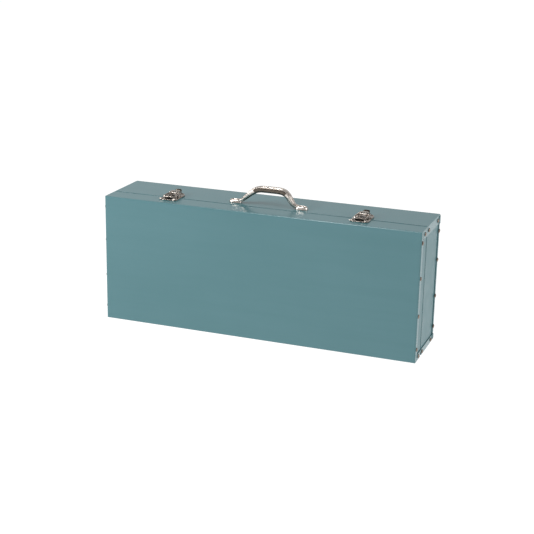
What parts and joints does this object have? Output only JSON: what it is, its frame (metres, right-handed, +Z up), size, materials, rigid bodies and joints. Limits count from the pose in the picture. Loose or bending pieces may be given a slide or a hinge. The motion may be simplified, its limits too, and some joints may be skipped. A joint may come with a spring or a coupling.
{
  "type": "sewing box with trays",
  "caption": "Slim riveted sheet-steel carrying case in blue-green enamel, with a bottom-hinged lid, draw latches, a top handle and cantilever trays inside",
  "frame": {"origin": "on the floor under the middle of the standing case, x and y centred on its box", "axes": "+X along the length to the right seen from the lid, -Y towards the lid, +Z up to the handle"},
  "size_m": [0.5032, 0.114, 0.2273],
  "materials": {
    "case_enamel": "smooth gloss stove enamel in grey blue-green",
    "nickel_plate": "worn bright nickel plate on stamped steel",
    "zinc_plate": "dull zinc plate",
    "tray_enamel": "satin grey enamel"
  },
  "bodies": {
    "case_body": {"body_shell": "case_enamel", "body_end_left": "case_enamel", "body_end_right": "case_enamel", "hinge_leaf_body": "zinc_plate", "hinge_pin": "zinc_plate", "handle": "nickel_plate", "handle_rivet_left": "nickel_plate", "handle_rivet_right": "nickel_plate", "latch_base_left": "nickel_plate", "latch_base_right": "nickel_plate", "latch_pin_left": "nickel_plate", "latch_pin_right": "nickel_plate", "arm_pivot_rear_left": "zinc_plate", "arm_pivot_rear_right": "zinc_plate", "arm_pivot_front_left": "zinc_plate", "arm_pivot_front_right": "zinc_plate", "body_rivet_left_1": "nickel_plate", "body_rivet_left_2": "nickel_plate", "body_rivet_left_3": "nickel_plate", "body_rivet_left_4": "nickel_plate", "body_rivet_left_5": "nickel_plate", "body_rivet_left_6": "nickel_plate", "body_rivet_left_7": "nickel_plate", "body_rivet_left_8": "nickel_plate", "body_rivet_right_1": "nickel_plate", "body_rivet_right_2": "nickel_plate", "body_rivet_right_3": "nickel_plate", "body_rivet_right_4": "nickel_plate", "body_rivet_right_5": "nickel_plate", "body_rivet_right_6": "nickel_plate", "body_rivet_right_7": "nickel_plate", "body_rivet_right_8": "nickel_plate"},
    "lid": {"lid_shell": "case_enamel", "lid_end_left": "case_enamel", "lid_end_right": "case_enamel", "hinge_leaf_lid": "zinc_plate", "latch_keeper_left": "nickel_plate", "latch_keeper_right": "nickel_plate", "lid_rivet_left_1": "nickel_plate", "lid_rivet_left_2": "nickel_plate", "lid_rivet_left_3": "nickel_plate", "lid_rivet_left_4": "nickel_plate", "lid_rivet_left_5": "nickel_plate", "lid_rivet_left_6": "nickel_plate", "lid_rivet_right_1": "nickel_plate", "lid_rivet_right_2": "nickel_plate", "lid_rivet_right_3": "nickel_plate", "lid_rivet_right_4": "nickel_plate", "lid_rivet_right_5": "nickel_plate", "lid_rivet_right_6": "nickel_plate"},
    "lever_left": {"latch_lever_left": "nickel_plate"},
    "loop_left": {"latch_loop_left": "nickel_plate"},
    "lever_right": {"latch_lever_right": "nickel_plate"},
    "loop_right": {"latch_loop_right": "nickel_plate"},
    "rear_arms": {"arm_rear_left": "zinc_plate", "arm_rear_right": "zinc_plate"},
    "front_arms": {"arm_front_left": "zinc_plate", "arm_front_right": "zinc_plate"},
    "top_tray": {"upper_tray": "tray_enamel"},
    "bottom_tray": {"lower_tray": "tray_enamel"}
  },
  "joints": [
    {"name": "lid_hinge", "type": "hinge", "parent": "case_body", "child": "lid", "pos_m": [0, -0.0225, 0.0022], "axis": [1, 0, 0], "range_deg": [0, 110]},
    {"name": "lever_left_pivot", "type": "hinge", "parent": "case_body", "child": "lever_left", "pos_m": [-0.1515, -0.016, 0.2042], "axis": [1, 0, 0], "range_deg": [0, 120]},
    {"name": "loop_left_pivot", "type": "hinge", "parent": "lever_left", "child": "loop_left", "pos_m": [-0.1515, -0.01, 0.2032], "axis": [1, 0, 0], "range_deg": [-145, 0]},
    {"name": "lever_right_pivot", "type": "hinge", "parent": "case_body", "child": "lever_right", "pos_m": [0.1515, -0.016, 0.2042], "axis": [1, 0, 0], "range_deg": [0, 120]},
    {"name": "loop_right_pivot", "type": "hinge", "parent": "lever_right", "child": "loop_right", "pos_m": [0.1515, -0.01, 0.2032], "axis": [1, 0, 0], "range_deg": [-145, 0]},
    {"name": "rear_arms_swing", "type": "hinge", "parent": "case_body", "child": "rear_arms", "pos_m": [0, 0.024, 0.035], "axis": [1, 0, 0], "range_deg": [0, 60]},
    {"name": "front_arms_swing", "type": "hinge", "parent": "case_body", "child": "front_arms", "pos_m": [0, 0.024, 0.1], "axis": [1, 0, 0], "range_deg": [0, 60]},
    {"name": "top_tray_level", "type": "hinge", "parent": "rear_arms", "child": "top_tray", "pos_m": [0, 0.00737, 0.11325], "axis": [1, 0, 0], "range_deg": [-60, 0]},
    {"name": "bottom_tray_level", "type": "hinge", "parent": "rear_arms", "child": "bottom_tray", "pos_m": [0, 0.01568, 0.07413], "axis": [1, 0, 0], "range_deg": [-60, 0]}
  ],
  "couplings": [
    {"joint": "loop_left_pivot", "follows": "lever_left_pivot", "ratio": -1.208},
    {"joint": "loop_right_pivot", "follows": "lever_right_pivot", "ratio": -1.208},
    {"joint": "rear_arms_swing", "follows": "lid_hinge", "ratio": 0.545},
    {"joint": "front_arms_swing", "follows": "lid_hinge", "ratio": 0.545},
    {"joint": "top_tray_level", "follows": "lid_hinge", "ratio": -0.545},
    {"joint": "bottom_tray_level", "follows": "lid_hinge", "ratio": -0.545}
  ]
}
